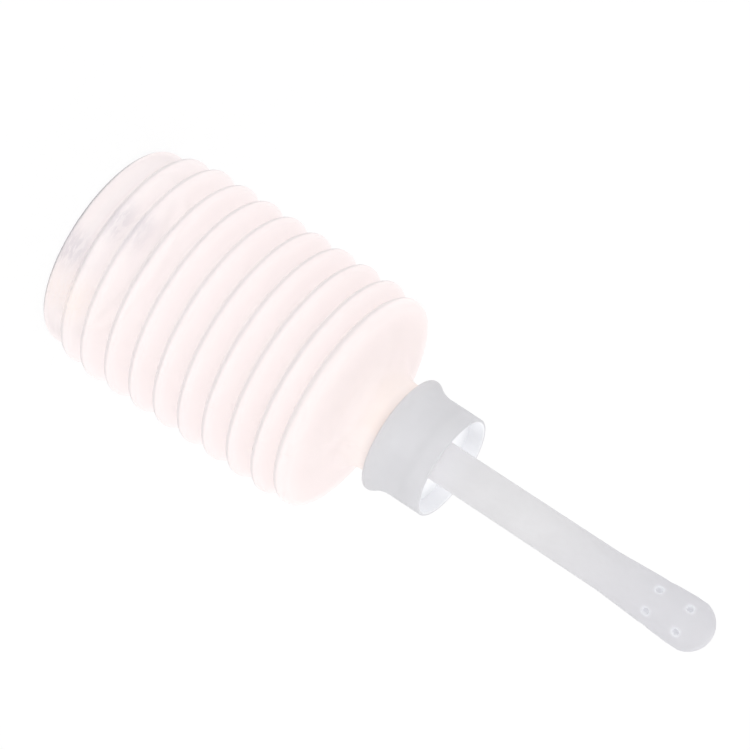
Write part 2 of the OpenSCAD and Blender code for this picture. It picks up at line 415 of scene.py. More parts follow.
def node(tree, kind, inputs=None, **settings):
    """One node, with its settings and its inputs given as values or links."""
    made = tree.nodes.new(kind)
    for key, value in settings.items():
        setattr(made, key, value)
    feed(tree, made, inputs or {})
    return made


def calc(tree, operation, a, b=None, c=None, clamp=False):
    """One Math node's result."""
    inputs = {i: v for i, v in enumerate((a, b, c)) if v is not None}
    return node(tree, "ShaderNodeMath", inputs, operation=operation, use_clamp=clamp).outputs[0]


def mix_colour(tree, amount, a, b):
    """Two colours mixed."""
    made = node(tree, "ShaderNodeMix", data_type="RGBA")
    feed(tree, made, {0: amount, 6: a, 7: b})
    return made.outputs[2]


def soft_step(tree, value, low, high):
    """0 at one value and 1 at another, with soft ends."""
    inputs = {"Value": value, "From Min": low, "From Max": high}
    return node(tree, "ShaderNodeMapRange", inputs, interpolation_type="SMOOTHSTEP").outputs[0]


def noise(tree, place, size, **settings):
    """A noise texture's value, by the size of its lumps in metres."""
    inputs = {"Vector": place, "Scale": calc(tree, "DIVIDE", 1.0, size), **settings}
    return node(tree, "ShaderNodeTexNoise", inputs).outputs[0]


def grain_group():
    """The fine skin of moulded plastic: grain, slow waves, and a roughness that drifts with them."""
    group, given, out = new_group(
        "Moulded skin",
        [
            ("Place", "NodeSocketVector", None),
            ("Grain size", "NodeSocketFloat", 0.0004),
            ("Grain", "NodeSocketFloat", 0.25),
            ("Wave size", "NodeSocketFloat", 0.012),
            ("Waves", "NodeSocketFloat", 1.0),
            ("Roughness", "NodeSocketFloat", 0.35),
            ("Drift", "NodeSocketFloat", 0.08),
        ],
        [("Height", "NodeSocketFloat"), ("Roughness", "NodeSocketFloat"), ("Mottle", "NodeSocketFloat")],
    )
    place = given.outputs["Place"]
    grain = noise(group, place, given.outputs["Grain size"], Detail=2.0)
    waves = noise(group, place, given.outputs["Wave size"], Detail=3.0)
    slow = calc(group, "SUBTRACT", waves, 0.5)
    lifted = calc(group, "MULTIPLY", slow, given.outputs["Waves"])
    height = calc(group, "MULTIPLY_ADD", grain, given.outputs["Grain"], lifted)
    rough = calc(group, "MULTIPLY_ADD", slow, given.outputs["Drift"], given.outputs["Roughness"])
    fine = calc(group, "MULTIPLY_ADD", grain, given.outputs["Drift"], rough)
    group.links.new(height, out.inputs["Height"])
    group.links.new(fine, out.inputs["Roughness"])
    group.links.new(soft_step(group, waves, 0.35, 0.65), out.inputs["Mottle"])
    return group


def tint_group():
    """A colour that drifts towards a second one in soft patches."""
    group, given, out = new_group(
        "Soft tint",
        [
            ("Color", "NodeSocketColor", (1, 1, 1, 1)),
            ("Second color", "NodeSocketColor", (1, 1, 1, 1)),
            ("Mask", "NodeSocketFloat", 0.0),
            ("Amount", "NodeSocketFloat", 1.0),
        ],
        [("Color", "NodeSocketColor")],
    )
    amount = calc(group, "MULTIPLY", given.outputs["Mask"], given.outputs["Amount"], clamp=True)
    mixed = mix_colour(group, amount, given.outputs["Color"], given.outputs["Second color"])
    group.links.new(mixed, out.inputs["Color"])
    return group


def scuff_group():
    """Streaks left by handling, inside a soft round patch."""
    group, given, out = new_group(
        "Handling scuffs",
        [
            ("Place", "NodeSocketVector", None),
            ("Centre", "NodeSocketVector", (0, 0, 0)),
            ("Reach", "NodeSocketFloat", 0.01),
            ("Streak size", "NodeSocketFloat", 0.002),
        ],
        [("Mask", "NodeSocketFloat"), ("Patch", "NodeSocketFloat")],
    )
    place = given.outputs["Place"]
    away = node(
        group, "ShaderNodeVectorMath", {0: place, 1: given.outputs["Centre"]}, operation="DISTANCE"
    )
    patch = soft_step(group, away.outputs["Value"], given.outputs["Reach"], 0.0)
    stretched = node(group, "ShaderNodeVectorMath", {0: place, 1: (0.4, 1.0, 5.0)}, operation="MULTIPLY")
    streaks = noise(
        group, stretched.outputs[0], given.outputs["Streak size"], Detail=3.0, Roughness=0.6
    )
    mask = calc(group, "MULTIPLY", patch, soft_step(group, streaks, 0.40, 0.56), clamp=True)
    group.links.new(mask, out.inputs["Mask"])
    group.links.new(patch, out.inputs["Patch"])
    return group


GROUP_MAKERS = {
    "Moulded skin": grain_group,
    "Soft tint": tint_group,
    "Handling scuffs": scuff_group,
}


def use_group(tree, name, inputs):
    """A shared group placed in a material with its own values."""
    group = bpy.data.node_groups.get(name) or GROUP_MAKERS[name]()
    made = tree.nodes.new("ShaderNodeGroup")
    made.node_tree = group
    feed(tree, made, inputs)
    return made.outputs


# Materials


def blank_tree(owner, output_kind):
    """The node tree of a material or the world with nothing in it but its output."""
    owner.use_nodes = True
    tree = owner.node_tree
    tree.nodes.clear()
    return tree, tree.nodes.new(output_kind)


def start_material(name):
    """A material with its tree cleared but for the shader and the output."""
    material = bpy.data.materials.new(name)
    tree, output = blank_tree(material, "ShaderNodeOutputMaterial")
    shader = tree.nodes.new("ShaderNodeBsdfPrincipled")
    tree.links.new(shader.outputs[0], output.inputs["Surface"])
    return material, tree, shader


def bump(tree, shader, height, distance):
    """Feeds a height to the shader's normal."""
    made = node(tree, "ShaderNodeBump", {"Height": height, "Distance": distance})
    tree.links.new(made.outputs[0], shader.inputs["Normal"])
    return made.outputs[0]


def let_through(tree, shader, tone, relief, amount):
    """Mixes a shader with one that passes the light on to the far side, and shows the mix."""
    beyond = node(tree, "ShaderNodeBsdfTranslucent", {"Color": tone, "Normal": relief})
    mixed = node(tree, "ShaderNodeMixShader", {0: amount, 1: shader.outputs[0], 2: beyond.outputs[0]})
    tree.links.new(mixed.outputs[0], tree.nodes["Material Output"].inputs["Surface"])
    return mixed.outputs[0]


def stored(tree, name):
    """A mask that the mesh keeps at its points."""
    return node(tree, "ShaderNodeAttribute", attribute_name=name).outputs["Fac"]


def solid(rgb):
    """A colour with its alpha."""
    return (*rgb, 1.0)


def tint(tree, tone, second, mask, amount=1.0):
    """A tone that drifts to a second colour where the mask says."""
    inputs = {"Color": tone, "Second color": solid(second), "Mask": mask, "Amount": amount}
    return use_group(tree, "Soft tint", inputs)["Color"]


def wall_tone(tree, wall, place, mottle, neck, crest):
    """The wall's colour: soft patches, paler valleys painted against their shade, a warmer neck, crest
    lines of painted shade and signs of use.
    """
    tone = tint(tree, solid(wall.plastic), wall.patches, mottle, amount=0.7)
    # Painted light: the valleys are painted paler, against their shade
    tone = tint(tree, tone, wall.valley_painted_light, stored(tree, "deep"))
    least, more = 0.5, 0.8
    patchy = calc(tree, "MULTIPLY", neck, calc(tree, "MULTIPLY_ADD", mottle, more, least))
    tone = tint(tree, tone, wall.warm, patchy)
    # Painted shade: dark lines along the lower rounding of the crests, the shoulder and the base
    tone = tint(tree, tone, wall.crest_shade, crest)
    for spot, reach in SCUFFS:
        inputs = {"Place": place, "Centre": spot, "Reach": reach, "Streak size": 4 * MM}
        scuffs = use_group(tree, "Handling scuffs", inputs)
        tone = tint(tree, tone, wall.rubbed, scuffs["Patch"], amount=0.28)
        tone = tint(tree, tone, wall.scuff, scuffs["Mask"], amount=0.42)
    inputs = {"Place": place, "Centre": STAIN[0], "Reach": STAIN[1], "Streak size": 2 * MM}
    stain = use_group(tree, "Handling scuffs", inputs)
    return tint(tree, tone, wall.stain, stain["Mask"], amount=0.65)


def wall_material():
    """Thin, milky, pale pink blown plastic."""
    name = "blown wall"
    if name in bpy.data.materials:
        return bpy.data.materials[name]
    wall = bpy.context.scene.bottle_wall
    material, tree, shader = start_material(name)
    place = node(tree, "ShaderNodeAttribute", attribute_name="rest_place").outputs["Vector"]
    sizes = {"Grain size": 0.6 * MM, "Grain": 0.12, "Wave size": 16 * MM, "Waves": 0.35}
    skin = use_group(
        tree, "Moulded skin", {"Place": place, "Roughness": 0.42, "Drift": 0.10, **sizes}
    )
    neck = stored(tree, "near_neck")
    from_inside = tree.nodes.new("ShaderNodeNewGeometry").outputs["Backfacing"]
    from_outside = calc(tree, "SUBTRACT", 1.0, from_inside)
    # The painted shade lines, shown only from outside the wall
    crest = calc(tree, "MULTIPLY", stored(tree, "crest_line"), from_outside)
    tone = wall_tone(tree, wall, place, skin["Mottle"], neck, crest)
    tree.links.new(tone, shader.inputs["Base Color"])
    tree.links.new(skin["Roughness"], shader.inputs["Roughness"])
    shader.inputs["IOR"].default_value = 1.45
    relief = bump(tree, shader, skin["Height"], distance=0.12 * MM)
    thinned = calc(tree, "MULTIPLY_ADD", neck, -wall.thick, 1.0)
    milky = let_through(tree, shader, tone, relief, calc(tree, "MULTIPLY", thinned, wall.milk))
    clear = node(tree, "ShaderNodeBsdfTransparent", {"Color": solid(wall.through)})
    facing = node(tree, "ShaderNodeLayerWeight", {"Blend": wall.edge}).outputs["Facing"]
    full = calc(tree, "MULTIPLY", thinned, wall.clarity)
    thin = calc(tree, "MULTIPLY", full, calc(tree, "SUBTRACT", 1.0, facing))
    straight = calc(tree, "MULTIPLY", thin, calc(tree, "SUBTRACT", 1.0, crest))
    surface = node(tree, "ShaderNodeMixShader", {0: straight, 1: milky, 2: clear.outputs[0]})
    tree.links.new(surface.outputs[0], tree.nodes["Material Output"].inputs["Surface"])
    return material


def moulded_material(name, tone, roughness, tints=(), thin=0.0, thick_inside=False):
    """Satin moulded plastic. With thick_inside, no light comes through where the last tint is."""
    material, tree, shader = start_material(name)
    place = tree.nodes.new("ShaderNodeTexCoord").outputs["Object"]
    sizes = {"Grain size": 0.35 * MM, "Grain": 0.35, "Wave size": 9 * MM, "Waves": 0.8}
    skin = use_group(
        tree, "Moulded skin", {"Place": place, "Roughness": roughness, "Drift": 0.10, **sizes}
    )
    brighter = 1.04
    paler = tuple(min(1.0, c * brighter) for c in tone)
    shown = tint(tree, solid(tone), paler, skin["Mottle"], amount=0.6)
    shader.inputs["IOR"].default_value = 1.49
    relief = bump(tree, shader, skin["Height"], distance=0.06 * MM)
    mask = 0.0
    for second, find_mask in tints:
        mask = find_mask(tree, place)
        shown = tint(tree, shown, second, mask)
    if thin:
        amount = calc(tree, "MULTIPLY_ADD", mask, -thin, thin) if thick_inside else thin
        let_through(tree, shader, shown, relief, amount)
    tree.links.new(shown, shader.inputs["Base Color"])
    tree.links.new(skin["Roughness"], shader.inputs["Roughness"])
    return material


def cup_light_mask(tree, place):
    """1 inside the collar, by the distance from its axis, where a paler tone is painted as light coming
    through the thin wall.
    """
    cup = bpy.context.scene.bottle_closure.cup
    flat = node(tree, "ShaderNodeVectorMath", {0: place, 1: (1.0, 1.0, 0.0)}, operation="MULTIPLY")
    away = node(tree, "ShaderNodeVectorMath", {0: flat.outputs[0]}, operation="LENGTH")
    return soft_step(tree, away.outputs["Value"], cup + 0.5 * MM, cup + 0.1 * MM)


def height_mask(tree, place, low, high):
    """0 at one height of the piece and 1 at another."""
    height = node(tree, "ShaderNodeSeparateXYZ", {0: place}).outputs["Z"]
    return soft_step(tree, height, low, high)


def tip_shade_mask(tree, place):
    """0 at the nozzle's root, 1 at its tip, where a darker tone is painted as shade."""
    return height_mask(tree, place, NOZZLE[1].z - 70 * MM, NOZZLE[1].z - 5 * MM)


def root_light_mask(tree, place):
    """1 on the nozzle inside the collar's cup, fading out just above it, where a paler tone is painted
    against the shade there.
    """
    return height_mask(tree, place, COLLAR[1].z + 9 * MM, COLLAR[1].z - 4 * MM)


def hole_light_mask(tree, place):
    """1 in the spray holes and the bore, as build_nozzle marks them, where a paler tone is painted as
    light.
    """
    return stored(tree, "pale")


# Pieces


def parting_lift(wall):
    """How far the mould's parting line stands out."""

    def lift(radius, angles):
        across = np.abs(np.sin(angles - wall.seam_angle)) * radius
        return wall.seam_height * np.clip(1 - across / (wall.seam_width / 2), 0, 1) ** 0.8

    return lift


def wall_shell(name, outline, outward, tags, closed=True):
    """One stretch of the blown wall, with its parting lines."""
    wall = bpy.context.scene.bottle_wall
    piece = turned(name, outline, columns_round(wall), outward, parting_lift(wall), tags, closed)
    face_out(piece)
    return piece


def line_share(line, point, centre):
    """How strong a painted shade line is at a point of the rounding that it runs along."""
    return float(np.interp(bearing(point, centre), *LINES[line]))


def fold_levels():
    """Each fold's lower and upper height and its outer radius."""
    levels = []
    for index in range(1, len(FOLDS) + 1):
        low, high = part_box(f"fold_{index}")
        levels.append((low.z, high.z, high.x))
    return levels


def crest_mask(outline, levels, wall):
    """A mask for the painted shade line along each crest's rounding, fading both ways."""
    mask = np.zeros(len(outline))
    for low, high, radius in levels:
        centre = (radius - wall.crest_round, (low + high) / 2)
        for i, (r, z) in enumerate(outline):
            if low < z < high and r > centre[0] - 0.2 * MM:
                mask[i] = max(mask[i], line_share("fold", (r, z), centre))
    return mask


def deepness(outline, wall):
    """0 at the crests, 1 at the bottom of a valley, where a paler tone is painted against the shade there.
    """
    crest = MAIN_FOLD[1].x
    return np.clip((crest - outline[:, 0]) / (crest - wall.valley_radius), 0.0, 1.0)


def build_bellows():
    """The folded middle of the wall, as one skin."""
    wall = bpy.context.scene.bottle_wall
    levels = fold_levels()
    low_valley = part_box("bottle_base")[1].x - BASE_TOP / 2
    radii = [low_valley] + [wall.valley_radius] * len(levels)
    bottom, top = levels[0][0], levels[-1][1]
    valley_floor, step, inner_step, warmed = 0.45 * MM, 2.5 * MM, 4 * MM, 30 * MM
    outer = [np.array([low_valley, bottom])]
    inner = [np.array([low_valley - wall.valley_wall, bottom])]
    for i, (low, high, radius) in enumerate(levels):
        centre = (radius - wall.crest_round, (low + high) / 2)
        lower = touch((radii[i], low), centre, wall.crest_round, -1)
        upper = touch((radii[i + 1], high), centre, wall.crest_round, 1)
        start, end = bearing(lower, centre), bearing(upper, centre)
        outer.extend(arc(centre, wall.crest_round, start, end, 14))
        outer.append(np.array((radii[i + 1], high)))
        inner.extend(arc(centre, wall.crest_round - wall.wall, start, end, 8))
        inside = radii[i + 1] - wall.valley_wall
        if high == top:
            inner.append(np.array([inside, high]))
        else:
            inner.append(np.array([inside, high - valley_floor]))
            inner.append(np.array([inside, high + valley_floor]))
    outer = spread(round_valleys(np.array(outer), wall.valley_round), step)
    inner = spread(np.array(inner), inner_step)
    outline = np.concatenate([outer, inner[::-1]])
    outward = np.concatenate([np.ones(len(outer)), np.zeros(len(inner))])
    crest = np.concatenate([crest_mask(outer, levels, wall), np.zeros(len(inner))])
    neck = np.interp(outline[:, 1], [top - warmed, top], [0.0, 0.04])
    tags = {"crest_line": crest, "near_neck": neck, "deep": deepness(outline, wall)}
    return wall_shell("bellows", outline, outward, tags)


def round_valleys(outline, radius):
    """The same outline with each sharp valley rounded."""
    sharp = 2.4
    radii = []
    for before, corner, after in zip(outline, outline[1:], outline[2:]):
        a, b = before - corner, after - corner
        opening = math.acos(np.clip(a @ b / np.hypot(*a) / np.hypot(*b), -1, 1))
        is_valley = opening < sharp and corner[0] < min(before[0], after[0])
        radii.append(radius if is_valley else 0.0)
    return rounded(outline, radii, 4)


def build_base():
    """The rounded base, with the hollow pushed up under it."""
    wall = bpy.context.scene.bottle_wall
    bead = BASE_TOP / 2
    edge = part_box("bottle_base")[1].x - bead
    hollow, depth, foot_round, gap = 21 * MM, 2.2 * MM, 1.2 * MM, 0.01 * MM
    inner_hollow, line_foot, step = hollow - 1.5 * MM, 0.3 * MM, 2 * MM
    sphere = (hollow * hollow + depth * depth) / (2 * depth)
    spots = np.linspace(0, hollow, 22)
    dome = np.column_stack([spots, depth - sphere + np.sqrt(sphere**2 - spots**2)])
    corners = [dome[-2], dome[-1], (edge, 0.0), (edge + 1 * MM, 0.0)]
    foot = rounded(corners, [foot_round, 0.0], 4)[1:-1]
    outer = np.concatenate([dome[:-2], foot, arc((edge, bead), bead, -90, 90, 26)[1:]])
    outer[-1][1] -= gap
    outer = spread(outer, step)
    inner_spots = np.linspace(inner_hollow, 0, 14)
    shell = sphere + wall.wall
    inner_dome = np.column_stack([inner_spots, depth - sphere + np.sqrt(shell**2 - inner_spots**2)])
    inner_bead = arc((edge, bead), bead - wall.wall, 90, -90, 16)
    valley = edge - wall.valley_wall
    inner = [point for point in [*inner_bead, *inner_dome] if point[1] <= bead or point[0] >= valley]
    outline = np.concatenate([outer, [[valley, BASE_TOP - gap]], inner])
    outward = np.zeros(len(outline))
    outward[: len(outer)] = 1.0
    outward[outline[:, 1] < line_foot] = 0.0
    none = np.zeros(len(outline))
    tags = {"crest_line": base_line(outline, edge, bead), "near_neck": none, "deep": none}
    return wall_shell("base_wall", outline, outward, tags, closed=False)


def base_line(outline, edge, bead):
    """A painted shade line: 1 on the lower side of the base's bead, fading upwards."""
    mask = np.zeros(len(outline))
    for i, (r, z) in enumerate(outline):
        if r > edge + 0.1 * bead:
            mask[i] = line_share("base", (r, z), (edge, bead))
    return mask


def shoulder_skin(wall, crest, neck_c, inset):
    """The wall's outer skin from the last valley up to the plain neck, or its inner one, set in."""
    slope = math.degrees(wall.shoulder_slope)
    low_z = SHOULDER[0].z
    start = bearing(touch((wall.valley_radius, low_z), crest, wall.shoulder_round, -1), crest)
    first = (wall.valley_radius - (wall.valley_wall if inset else 0), low_z + 0.01 * MM)
    return [
        [first],
        arc(crest, wall.shoulder_round - inset, start, 90 - slope, 18),
        arc(neck_c, wall.neck_round + inset, 270 - slope, 180, 10),
    ]


def build_shoulder():
    """Shoulder, neck and threaded mouth."""
    wall = bpy.context.scene.bottle_wall
    neck_r, mouth_z = wall.neck, SHOULDER[1].z
    crest = (SHOULDER[1].x - wall.shoulder_round, SHOULDER[0].z + wall.shoulder_rise)
    neck_c = (neck_r + wall.neck_round, COLLAR[0].z - wall.neck_show)
    root_r, mouth_r = 13.1 * MM, 11.2 * MM
    step_z = COLLAR[0].z - 1 * MM
    root_z = step_z + neck_r - root_r
    step_round, mouth_round, step, line_gap, warmed = 0.4 * MM, 0.3 * MM, 1.2 * MM, 0.5 * MM, 7 * MM
    corners = [
        (neck_r, step_z - 2 * MM),
        (neck_r, step_z),
        (root_r, root_z),
        (root_r, mouth_z),
        (mouth_r, mouth_z),
    ]
    mouth = rounded(corners, [step_round, step_round, mouth_round], 4)
    outer = spread(np.concatenate([*shoulder_skin(wall, crest, neck_c, 0.0), mouth]), step)
    inner_mouth = [(neck_r - wall.wall, step_z), (mouth_r, root_z)]
    inner = np.concatenate([*shoulder_skin(wall, crest, neck_c, wall.wall), inner_mouth])
    outline = np.concatenate([outer, inner[::-1]])
    outward = np.concatenate([np.ones(len(outer)), np.zeros(len(inner))])
    outward[outline[:, 1] > step_z - line_gap] = 0.0
    near = np.interp(outline[:, 1], [crest[1], crest[1] + warmed, neck_c[1]], [0.04, 0.18, 1.0])
    # A painted shade line along the shoulder's rounding
    line = np.zeros(len(outline))
    for i, (r, z) in enumerate(outer):
        if r > crest[0] and z < crest[1] + wall.shoulder_round:
            line[i] = line_share("shoulder", (r, z), crest)
    deep = np.where(outline[:, 1] < crest[1], deepness(outline, wall), 0.0)
    tags = {"crest_line": line, "near_neck": near, "deep": deep}
    body = wall_shell("shoulder_wall", outline, outward, tags)
    return join([body, build_thread(root_r, mouth_z)])


def build_thread(root_r, mouth_z):
    """The thread round the mouth, which the collar turns on."""
    pitch, turns, lead_in = 3 * MM, 1.3, 1 * MM
    flank, foot, crest, height, sink = 1.3 * MM, 1.56 * MM, 0.52 * MM, 0.9 * MM, 0.3 * MM
    bottom = mouth_z - lead_in - turns * pitch - flank / 2
    ridge = helix("thread", root_r, height, foot, crest, pitch, turns, bottom, sink)
    face_out(ridge)
    return ridge


def nozzle_radius():
    """The nozzle's outer radius at each height, and the centre and radius of its round tip."""
    tip_r, root_r = 7.8 * MM, 6.05 * MM
    tip_z = NOZZLE[1].z - tip_r
    flare_r, flare_z = 6.2 * MM, tip_z - FLARE_LENGTH
    meet = touch((flare_r, flare_z), (0.0, tip_z), tip_r, -1)
    heights = [NOZZLE[0].z, COLLAR[1].z, flare_z, meet[1]]
    radii = [root_r, root_r, flare_r, meet[0]]

    def radius(z, inset=0.0):
        if z >= meet[1]:
            return math.sqrt(max(0.0, (tip_r - inset) ** 2 - (z - tip_z) ** 2))
        return float(np.interp(z, heights, radii)) - inset

    return radius, tip_z, tip_r


def cell_edge():
    """Points round a square from -1 to 1, from its lower left corner."""
    run = np.linspace(-1, 1, CELL_SIDE, endpoint=False)
    lower, right = [(u, -1) for u in run], [(1, v) for v in run]
    return lower + right + [(-u, 1) for u in run] + [(-1, -v) for v in run]


def flange_outline(root, wall):
    """The clamped flange, from the tube's inside at its foot to just above it."""
    low, out, high = NOZZLE[0].z, NOZZLE[1].x, NOZZLE[0].z + FLANGE_HEIGHT
    soft = 0.3 * MM
    return [
        (root - wall, low),
        (root, low),
        (out - soft, low),
        (out, low + soft),
        (out, high - soft),
        (out - soft, high),
        (root + soft, high),
    ]


def hole_stages(closure):
    """Rings from a cell's edge into its spray hole: radius, blend, depth and paleness, which paints a
    highlight on the lip and light in the hole.
    """
    lip, hole, rim = closure.hole_lip, closure.hole, closure.hole + closure.hole_lip
    stages = [(rim, blend, 0.0, 0.0) for blend in (0.0, 0.3, 0.55, 0.78)]
    # Painted highlight: the lip of each hole is marked partly pale
    stages += [(rim, 0.93, 0.0, 0.3), (rim, 1.0, 0.0, 0.7)]
    for turn in np.radians([30, 60, 90]):
        stages.append((hole + lip * (1 - math.sin(turn)), 1.0, lip * (1 - math.cos(turn)), 1.0))
    stages.append((hole, 1.0, closure.tube_wall * 0.6, 1.0))
    return stages + [(hole, blend, closure.tube_wall, 1.0) for blend in (1.0, 0.5, 0.0)]


def build_nozzle():
    """The tube that flares to a round tip, with its clamped flange and two rings of spray holes."""
    closure = bpy.context.scene.bottle_closure
    radius, tip_z, tip_r = nozzle_radius()
    wall, count, step = closure.tube_wall, closure.hole_count, closure.ring_step
    columns = CELL_SIDE * count
    angles = np.arange(columns) * TAU / columns
    half_angle = math.pi / count
    cap, dimple, dimple_reach = 4.2 * MM, 0.10 * MM, 2.4 * MM
    top, middle, bottom = tip_z + cap, tip_z - step / 2, tip_z - 1.5 * step + 1 * MM
    verts, faces, pale = [], [], []

    def point(r, turn, z, tone):
        verts.append((r * math.cos(turn), r * math.sin(turn), z))
        pale.append(tone)
        return len(verts) - 1

    def rows(outline, tone):
        made = []
        for r, z in outline:
            if r < ON_AXIS:
                made.append([point(0.0, 0.0, z, tone)] * columns)
            else:
                made.append([point(r, turn, z, tone) for turn in angles])
        for low, high in zip(made, made[1:]):
            faces.extend(ring_faces(low, high))

    def round_end(r, steps, tone):
        turns = np.linspace(math.asin(cap / r), math.pi / 2, steps)
        rows([(r * math.cos(turn), tip_z + r * math.sin(turn)) for turn in turns], tone)

    def spot(cell, u, v, r_hole, blend, inset, tone):
        """A point between a cell's edge, at blend 0, and a circle round its hole, at blend 1."""
        middle_turn, low, high, hole_z = cell
        reach = radius(hole_z)
        z_edge = (low + high) / 2 + v * (high - low) / 2
        s_edge = u * half_angle * reach
        turn = math.atan2(z_edge - hole_z, s_edge)
        s = s_edge + (r_hole * math.cos(turn) - s_edge) * blend
        z = z_edge + (r_hole * math.sin(turn) - (z_edge - hole_z)) * blend
        r = radius(z) - inset
        if inset < wall:
            away = math.hypot(s, z - hole_z)
            r -= dimple * float(np.interp(away, [1.0 * MM, dimple_reach], [1.0, 0.0])) ** 2
        return point(r, middle_turn + s / reach, z, tone)

    tube = [NOZZLE[0].z + FLANGE_HEIGHT + above for above in (0.3 * MM, 2 * MM)]
    tube += list(np.linspace(COLLAR[1].z, tip_z - FLARE_LENGTH, 12))
    tube += list(np.linspace(tip_z - FLARE_LENGTH + 2 * MM, bottom, 5))
    above_collar = tube[5:]
    root = radius(NOZZLE[0].z)
    rows(flange_outline(root, wall) + [(radius(z), z) for z in tube], 0.0)
    round_end(tip_r, 9, 0.0)
    bore = [(root - wall, NOZZLE[0].z), (root - wall, COLLAR[1].z)]
    # Painted light: the bore is marked pale, to show as if lit
    rows(bore + [(radius(z, wall), z) for z in above_collar], 1.0)
    round_end(tip_r - wall, 6, 1.0)
    for index in range(count):
        for low, high, hole_z in ((bottom, middle, tip_z - step), (middle, top, tip_z)):
            cell = ((2 * index + 1) * half_angle, low, high, hole_z)
            rings = [[spot(cell, u, v, *stage) for u, v in cell_edge()] for stage in hole_stages(closure)]
            for outside, inside in zip(rings, rings[1:]):
                faces.extend(ring_faces(outside, inside))
    mesh = bpy.data.meshes.new("spray_nozzle")
    mesh.from_pydata(verts, [], faces)
    mesh.attributes.new("pale", "FLOAT", "POINT").data.foreach_set("value", pale)
    piece = placed("spray_nozzle", mesh)
    face_out(piece)
    smooth = piece.modifiers.new("Smooth", "SUBSURF")
    smooth.levels = 1
    smooth.render_levels = 1
    return piece


def finish_piece(piece, material, body, slot, *nodes):
    """Gives a piece its material and its body, and hides the nodes that it stands for. Its slot argument
    is not used.
    """
    piece.data.materials.append(material)
    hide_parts(*nodes)
    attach(piece, body)


def finish_wall(piece, body, *nodes):
    """Finishes a stretch of the wall, and keeps where its grain lies at rest."""
    remember_place(piece)
    finish_piece(piece, wall_material(), body, "bottle_wall", *nodes)


def repaint(name, material):
    """Gives a CAD node a better material."""
    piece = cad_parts[name]
    for place in piece.material_slots:
        place.material = material
    if not piece.material_slots:
        piece.data.materials.append(material)


# Operators


class BOTTLE_OT_base(bpy.types.Operator):
    """Build the rounded base of the bottle"""

    bl_idname = "bottle.base"
    bl_label = "Base"

    def execute(self, context):
        finish_wall(build_base(), "base", "bottle_base")
        return {"FINISHED"}


class BOTTLE_OT_bellows(bpy.types.Operator):
    """Build the folds of the bottle as one skin"""

    bl_idname = "bottle.bellows"
    bl_label = "Bellows"

    def execute(self, context):
        piece = build_bellows()
        finish_wall(piece, "base", *FOLDS)
        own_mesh(piece)
        return {"FINISHED"}


class BOTTLE_OT_shoulder(bpy.types.Operator):
    """Build the shoulder, the neck and its thread"""

    bl_idname = "bottle.shoulder"
    bl_label = "Shoulder"

    def execute(self, context):
        finish_wall(build_shoulder(), "shoulder", "bottle_shoulder")
        return {"FINISHED"}


class BOTTLE_OT_washer(bpy.types.Operator):
    """Give the sealing washer its rubber"""

    bl_idname = "bottle.washer"
    bl_label = "Washer"

    def execute(self, context):
        closure = context.scene.bottle_closure
        repaint("sealing_washer", moulded_material("washer rubber", closure.rubber, roughness=0.6))
        return {"FINISHED"}


class BOTTLE_OT_nozzle(bpy.types.Operator):
    """Build the nozzle with its spray holes"""

    bl_idname = "bottle.nozzle"
    bl_label = "Nozzle"

    def execute(self, context):
        closure = context.scene.bottle_closure
        tints = [(closure.root, root_light_mask), (closure.tip, tip_shade_mask), (closure.inside, hole_light_mask)]
        material = moulded_material(
            "nozzle plastic", closure.nozzle, roughness=0.42, tints=tints, thin=closure.nozzle_thin
        )
        finish_piece(build_nozzle(), material, "nozzle", "nozzle_plastic", "nozzle")
        return {"FINISHED"}


class BOTTLE_OT_collar(bpy.types.Operator):
    """Give the screw collar its plastic"""

    bl_idname = "bottle.collar"
    bl_label = "Collar"

    def execute(self, context):
        closure = context.scene.bottle_closure
        tints = [(closure.inside, cup_light_mask)]
        shares = {"roughness": 0.45, "thin": closure.thin, "thick_inside": True}
        material = moulded_material("collar plastic", closure.collar, tints=tints, **shares)
        repaint("screw_collar", material)
        return {"FINISHED"}


class BOTTLE_OT_stage(bpy.types.Operator):
    """Set the floor, the light and the camera"""

    bl_idname = "bottle.stage"
    bl_label = "Stage"

    def execute(self, context):
        stage = context.scene.bottle_stage
        build_floor(stage)
        build_light(stage)
        build_camera(stage)
        return {"FINISHED"}


def backdrop_rays(tree):
    """1 for rays that look straight at the backdrop, in a mirror or through the wall."""
    path = tree.nodes.new("ShaderNodeLightPath").outputs
    seen = calc(tree, "MAXIMUM", path["Is Camera Ray"], path["Is Glossy Ray"])
    return calc(tree, "MAXIMUM", seen, path["Is Transmission Ray"])


def build_floor(stage):
    """A wide plain floor that shows white and keeps the bottle's soft shadow."""
    half, drop, backdrop_glow = 6.0, 0.02 * MM, 0.95
    corners = [(-half, -half, -drop), (half, -half, -drop), (half, half, -drop), (-half, half, -drop)]
    mesh = bpy.data.meshes.new("floor")
    mesh.from_pydata(corners, [], [(0, 1, 2, 3)])
    floor = add_object("floor", mesh)
    material = bpy.data.materials.new("floor paper")
    material.cycles.emission_sampling = "NONE"
    tree, output = blank_tree(material, "ShaderNodeOutputMaterial")
    paper = node(tree, "ShaderNodeBsdfDiffuse", {"Color": solid(stage.floor)})
    glow = node(tree, "ShaderNodeEmission", {"Color": (1, 1, 1, 1), "Strength": 1.0})
    amount = calc(tree, "MULTIPLY", backdrop_rays(tree), backdrop_glow)
    mixed = node(tree, "ShaderNodeMixShader", {0: amount, 1: paper.outputs[0], 2: glow.outputs[0]})
    tree.links.new(mixed.outputs[0], output.inputs["Surface"])
    mesh.materials.append(material)


